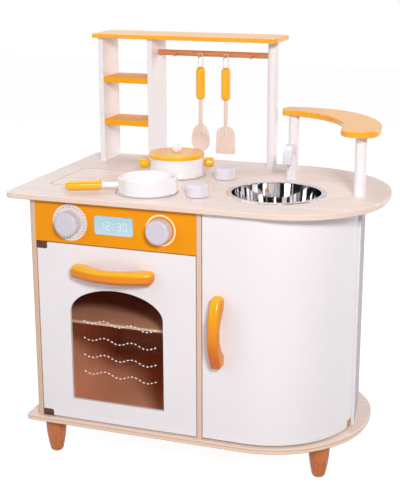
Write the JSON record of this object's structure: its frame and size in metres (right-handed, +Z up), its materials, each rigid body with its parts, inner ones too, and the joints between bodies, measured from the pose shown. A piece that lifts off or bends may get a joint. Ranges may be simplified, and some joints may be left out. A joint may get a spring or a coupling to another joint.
{
  "type": "toy kitchen",
  "caption": "Wooden toy kitchen with a rounded end: oven and cupboard with hinged doors, hob, sink, swivel tap, shelf rack with hanging utensils, pot and pan.",
  "frame": {"origin": "on the floor under the middle of the overall box", "axes": "+Z up, -Y towards the front with the oven door, +X to the right as seen from the front"},
  "size_m": [0.6412, 0.416, 0.749],
  "materials": {
    "birch_plywood": "clear lacquered birch plywood",
    "white_lacquer": "white lacquered board, satin",
    "orange_lacquer": "orange lacquered board, satin",
    "cherry_stain": "cherry stained turned hardwood",
    "dark_brown_plastic": "moulded, matte",
    "grey_lacquer": "pale grey lacquered wood, satin",
    "plain_beech": "unfinished hardwood",
    "brown_board": "brown stained board",
    "clear_acrylic": "clear acrylic sheet",
    "stainless_steel": "polished stainless sheet",
    "steel_pin": "plain steel",
    "display_film": "gloss printed plate",
    "dial_print": "gloss printed plate",
    "cotton_string": "thin cotton string"
  },
  "bodies": {
    "cabinet": {"worktop": "birch_plywood", "bottom_board": "birch_plywood", "feet": "cherry_stain", "left_panel": "white_lacquer", "divider_panel": "white_lacquer", "back_panel": "brown_board", "right_panel": "white_lacquer", "rear_curved_panel": "white_lacquer", "oven_ceiling": "brown_board", "oven_shelf": "brown_board", "shelf_cleats": "brown_board", "control_panel": "orange_lacquer", "display_plate": "display_film", "dial_plate": "dial_print", "hinge_pins": "steel_pin", "door_stops": "plain_beech", "stop_magnets": "steel_pin", "faucet_pivot": "plain_beech", "corner_shelf": "orange_lacquer", "corner_posts": "white_lacquer", "rack_left_post": "white_lacquer", "rack_middle_post": "white_lacquer", "rack_right_post": "white_lacquer", "rack_top_shelf": "orange_lacquer", "rack_small_shelves": "orange_lacquer", "utensil_rail": "cherry_stain", "rail_pegs": "cherry_stain"},
    "oven_door": {"oven_door": "white_lacquer", "oven_window": "clear_acrylic", "window_clips": "dark_brown_plastic", "oven_handle": "orange_lacquer", "oven_hinge_blocks": "dark_brown_plastic", "oven_strike": "steel_pin"},
    "cupboard_door": {"cupboard_door": "white_lacquer", "cupboard_handle": "orange_lacquer", "cupboard_hinge_blocks": "dark_brown_plastic", "cupboard_strike": "steel_pin"},
    "left_oven_knob": {"left_oven_knob": "grey_lacquer", "left_knob_spindle": "plain_beech"},
    "right_oven_knob": {"right_oven_knob": "grey_lacquer", "right_knob_spindle": "plain_beech"},
    "front_hob_knob": {"front_hob_knob": "grey_lacquer", "front_hob_spindle": "plain_beech"},
    "rear_hob_knob": {"rear_hob_knob": "grey_lacquer", "rear_hob_spindle": "plain_beech"},
    "tap": {"faucet": "grey_lacquer"},
    "sink": {"sink_bowl": "stainless_steel"},
    "pot": {"pot_body": "white_lacquer", "pot_handles": "orange_lacquer"},
    "lid": {"pot_lid": "orange_lacquer", "lid_knob": "white_lacquer"},
    "pan": {"pan_body": "white_lacquer", "pan_stem": "white_lacquer", "pan_grip": "orange_lacquer"},
    "spoon": {"spoon": "plain_beech", "spoon_handle": "orange_lacquer", "spoon_loop": "cotton_string"},
    "spatula": {"spatula": "plain_beech", "spatula_handle": "orange_lacquer", "spatula_loop": "cotton_string"}
  },
  "joints": [
    {"name": "oven_door_hinge", "type": "hinge", "parent": "cabinet", "child": "oven_door", "pos_m": [-0.25811, -0.1675, 0.285], "axis": [0, 0, -1], "range_deg": [0, 105]},
    {"name": "cupboard_door_hinge", "type": "hinge", "parent": "cabinet", "child": "cupboard_door", "pos_m": [0.2712, -0.03802, 0.285], "axis": [0, 0, 1], "range_deg": [0, 105]},
    {"name": "left_oven_knob_turn", "type": "hinge", "parent": "cabinet", "child": "left_oven_knob", "pos_m": [-0.20062, -0.172, 0.45225], "axis": [0, -1, 0], "continuous": true},
    {"name": "right_oven_knob_turn", "type": "hinge", "parent": "cabinet", "child": "right_oven_knob", "pos_m": [-0.03162, -0.172, 0.45225], "axis": [0, -1, 0], "continuous": true},
    {"name": "front_hob_knob_turn", "type": "hinge", "parent": "cabinet", "child": "front_hob_knob", "pos_m": [0.00938, -0.10318, 0.5], "axis": [0, 0, 1], "continuous": true},
    {"name": "rear_hob_knob_turn", "type": "hinge", "parent": "cabinet", "child": "rear_hob_knob", "pos_m": [0.00938, 0.04727, 0.5], "axis": [0, 0, 1], "continuous": true},
    {"name": "tap_swivel", "type": "hinge", "parent": "cabinet", "child": "tap", "pos_m": [0.12888, 0.0765, 0.5], "axis": [0, 0, 1], "range_deg": [-90, 90]},
    {"name": "sink_lift", "type": "slide", "parent": "cabinet", "child": "sink", "axis": [0, 0, 1], "range_m": [0, 0.028]},
    {"name": "pot_lift", "type": "slide", "parent": "cabinet", "child": "pot", "axis": [0, 0, 1], "range_m": [0, 0.06]},
    {"name": "lid_lift", "type": "slide", "parent": "pot", "child": "lid", "axis": [0, 0, 1], "range_m": [0, 0.04]},
    {"name": "pan_lift", "type": "slide", "parent": "cabinet", "child": "pan", "axis": [0, 0, 1], "range_m": [0, 0.1]},
    {"name": "spoon_swing", "type": "hinge", "parent": "cabinet", "child": "spoon", "pos_m": [-0.0749, 0.1501, 0.7144], "axis": [1, 0, 0], "range_deg": [-12, 35]},
    {"name": "spatula_swing", "type": "hinge", "parent": "cabinet", "child": "spatula", "pos_m": [-0.0242, 0.1501, 0.7144], "axis": [1, 0, 0], "range_deg": [-12, 35]}
  ]
}
